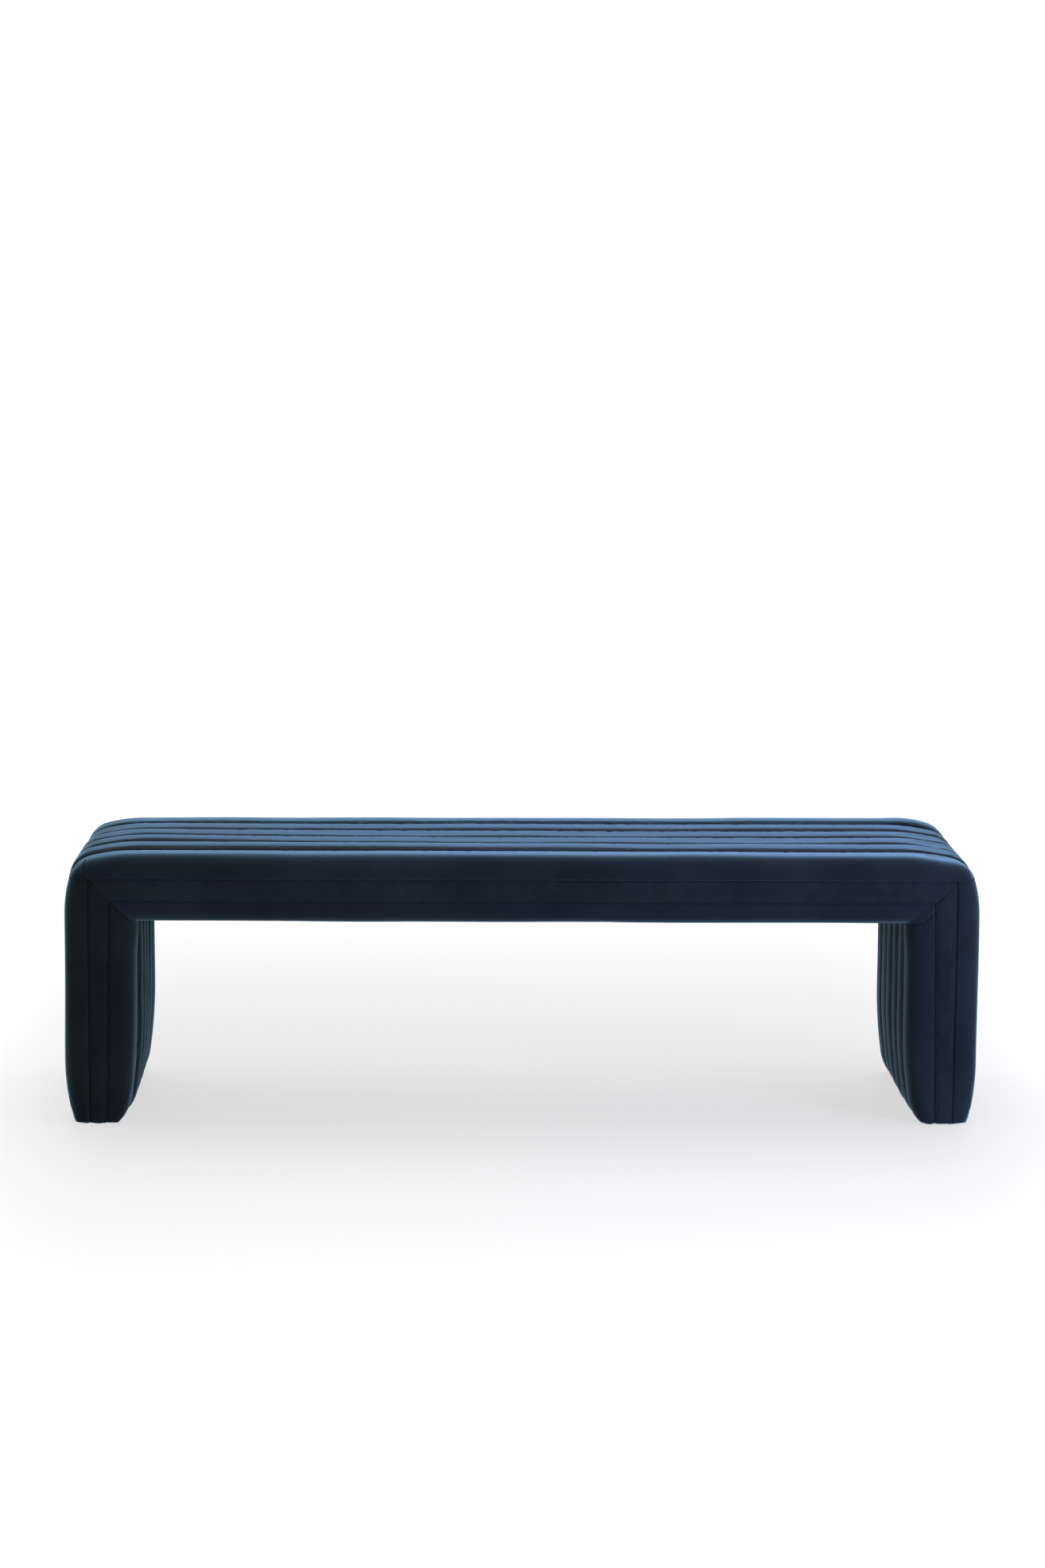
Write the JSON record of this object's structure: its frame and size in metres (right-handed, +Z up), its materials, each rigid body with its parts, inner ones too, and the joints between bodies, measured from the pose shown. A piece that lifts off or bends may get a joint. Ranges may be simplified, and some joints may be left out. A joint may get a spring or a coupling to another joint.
{
  "type": "upholstered bench",
  "caption": "Backless bench: an upside-down U of channel-quilted velvet over a foam-padded timber and plywood frame, with rolled edges, mitred faces and tapered feet.",
  "frame": {"origin": "on the floor, under the middle of the seat", "axes": "+X along the bench, -Y towards its front, +Z up"},
  "size_m": [1.524, 0.457, 0.457],
  "materials": {
    "velvet": "matte",
    "foam": "matte",
    "plywood": "matte",
    "timber": "matte",
    "dust_cloth": "matte",
    "glide_metal": "satin",
    "zinc_steel": "satin"
  },
  "bodies": {
    "root": {"outer_channel_1": "velvet", "outer_channel_2": "velvet", "outer_channel_3": "velvet", "outer_channel_4": "velvet", "inner_channel_1": "velvet", "inner_channel_2": "velvet", "inner_channel_3": "velvet", "inner_channel_4": "velvet", "front_outer_roll": "velvet", "front_inner_roll": "velvet", "back_outer_roll": "velvet", "back_inner_roll": "velvet", "front_seat_strip": "velvet", "front_left_strip": "velvet", "front_right_strip": "velvet", "back_seat_strip": "velvet", "back_left_strip": "velvet", "back_right_strip": "velvet", "seat_foam": "foam", "left_corner_foam": "foam", "right_corner_foam": "foam", "left_side_foam": "foam", "right_side_foam": "foam", "seat_deck": "plywood", "base_board": "plywood", "left_side_panel": "plywood", "right_side_panel": "plywood", "left_inner_panel": "plywood", "right_inner_panel": "plywood", "left_foot_board": "plywood", "right_foot_board": "plywood", "front_rail": "timber", "back_rail": "timber", "cross_rails": "timber", "glue_blocks": "timber", "left_posts": "timber", "right_posts": "timber", "left_stretchers": "timber", "right_stretchers": "timber", "left_dust_cover": "dust_cloth", "right_dust_cover": "dust_cloth", "left_glides": "glide_metal", "right_glides": "glide_metal", "corner_plates": "zinc_steel", "plate_screws": "zinc_steel", "deck_screws": "zinc_steel"}
  },
  "joints": []
}
